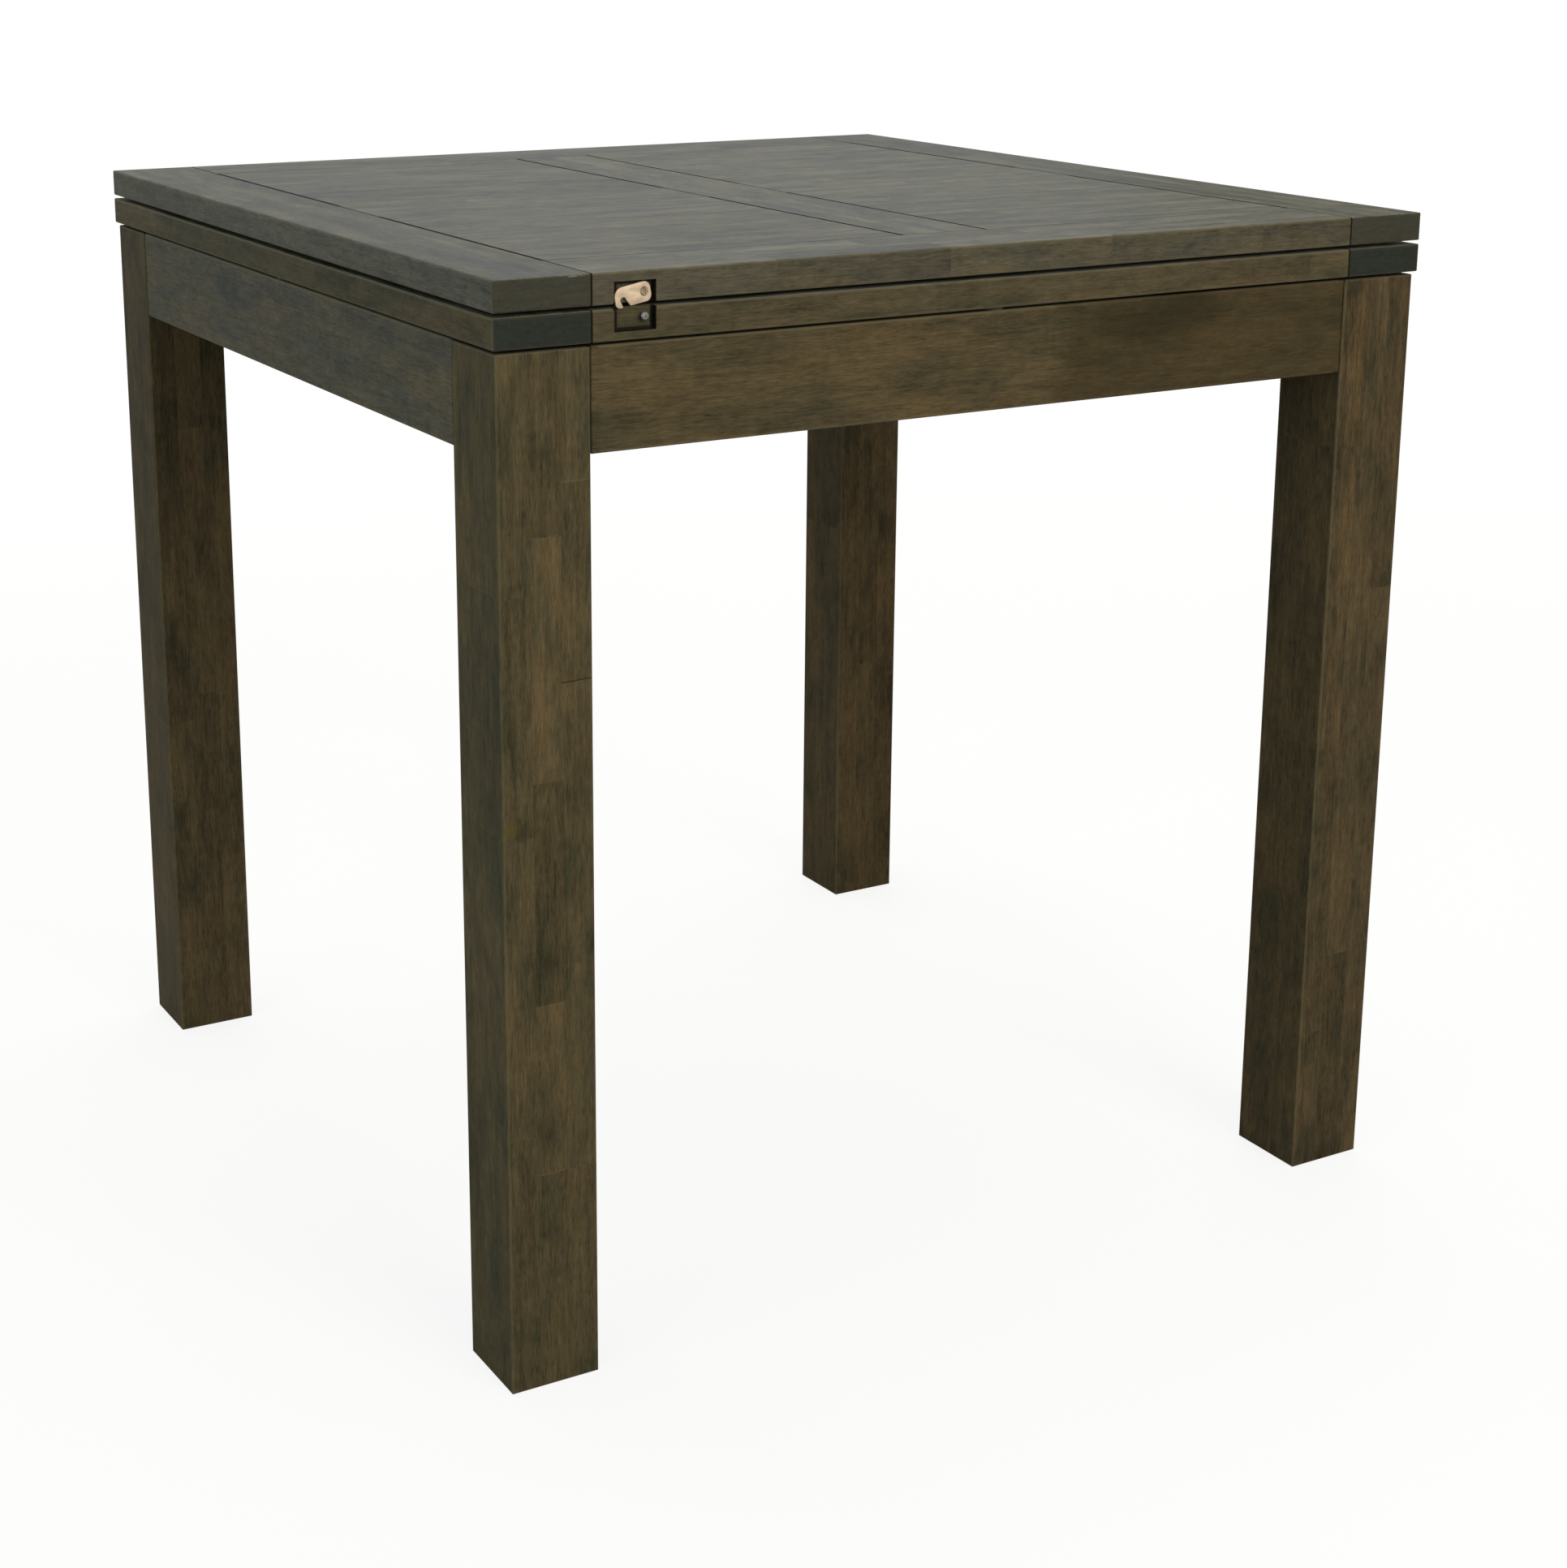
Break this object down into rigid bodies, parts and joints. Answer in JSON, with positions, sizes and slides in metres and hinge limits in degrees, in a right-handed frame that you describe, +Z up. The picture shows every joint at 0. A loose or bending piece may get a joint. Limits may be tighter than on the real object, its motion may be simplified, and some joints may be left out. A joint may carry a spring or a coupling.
{
  "type": "extendable bar table",
  "caption": "Square counter-height bar table with a fold-over top: the stacked leaves swivel on an off-centre pivot and the upper one flips open on hinges; a hook latch locks them.",
  "frame": {"origin": "centre of the folded table's footprint, on the floor", "axes": "+Z up; -Y is the front, the side with the latch; +X is the hinged side of the leaves"},
  "size_m": [0.9018, 0.9, 0.9],
  "materials": {
    "stained_top": "grey-brown stain under satin lacquer",
    "stained_frame": "olive-brown stain under satin lacquer",
    "bare_wood": "bare sawn wood inside the frame",
    "steel": "bright zinc",
    "yellow_zinc": "pale yellow passivated zinc",
    "felt": "pressed felt",
    "nylon": "natural nylon"
  },
  "bodies": {
    "frame": {"leg_front_left": "stained_frame", "leg_front_right": "stained_frame", "leg_rear_left": "stained_frame", "leg_rear_right": "stained_frame", "apron_front": "stained_frame", "apron_rear": "stained_frame", "apron_left": "stained_frame", "apron_right": "stained_frame", "apron_dowels": "bare_wood", "corner_blocks": "bare_wood", "hanger_bolts": "steel", "hanger_washers": "steel", "hanger_nuts": "steel", "swivel_rail": "bare_wood", "rail_cleats": "bare_wood", "cleat_screws": "steel", "pivot_sleeve": "nylon", "stop_pin": "steel", "felt_glides": "felt"},
    "lower_leaf": {"lower_breadboard_left": "stained_top", "lower_breadboard_right": "stained_top", "lower_rail_front": "stained_top", "lower_rail_rear": "stained_top", "lower_stile": "stained_top", "lower_mid_rail_left": "stained_top", "lower_mid_rail_right": "stained_top", "lower_panel_front_left": "stained_top", "lower_panel_front_right": "stained_top", "lower_panel_rear_left": "stained_top", "lower_panel_rear_right": "stained_top", "pivot_plate": "steel", "pivot_plate_screws": "steel", "pivot_washer": "steel", "pivot_lock_nut": "steel", "felt_dots": "felt", "hinge_plates_lower": "steel", "hinge_pins": "steel", "hinge_screws_lower": "steel", "catch_stud": "steel"},
    "upper_leaf": {"upper_breadboard_left": "stained_top", "upper_breadboard_right": "stained_top", "upper_rail_front": "stained_top", "upper_rail_rear": "stained_top", "upper_stile": "stained_top", "upper_mid_rail_left": "stained_top", "upper_mid_rail_right": "stained_top", "upper_panel_front_left": "stained_top", "upper_panel_front_right": "stained_top", "upper_panel_rear_left": "stained_top", "upper_panel_rear_right": "stained_top", "hinge_plates_upper": "steel", "hinge_screws_upper": "steel", "hook_washer": "steel", "hook_screw": "yellow_zinc"},
    "latch_hook": {"latch_hook": "yellow_zinc"}
  },
  "joints": [
    {"name": "swivel", "type": "hinge", "parent": "frame", "child": "lower_leaf", "pos_m": [0.22515, -0.22515, 0.848], "axis": [0, 0, 1], "range_deg": [0, 90]},
    {"name": "flip", "type": "hinge", "parent": "lower_leaf", "child": "upper_leaf", "pos_m": [0.4503, 0, 0.874], "axis": [0, 1, 0], "range_deg": [0, 180]},
    {"name": "hook_turn", "type": "hinge", "parent": "upper_leaf", "child": "latch_hook", "pos_m": [-0.3234, -0.446, 0.8834], "axis": [0, -1, 0], "range_deg": [-10.5, 71]}
  ]
}
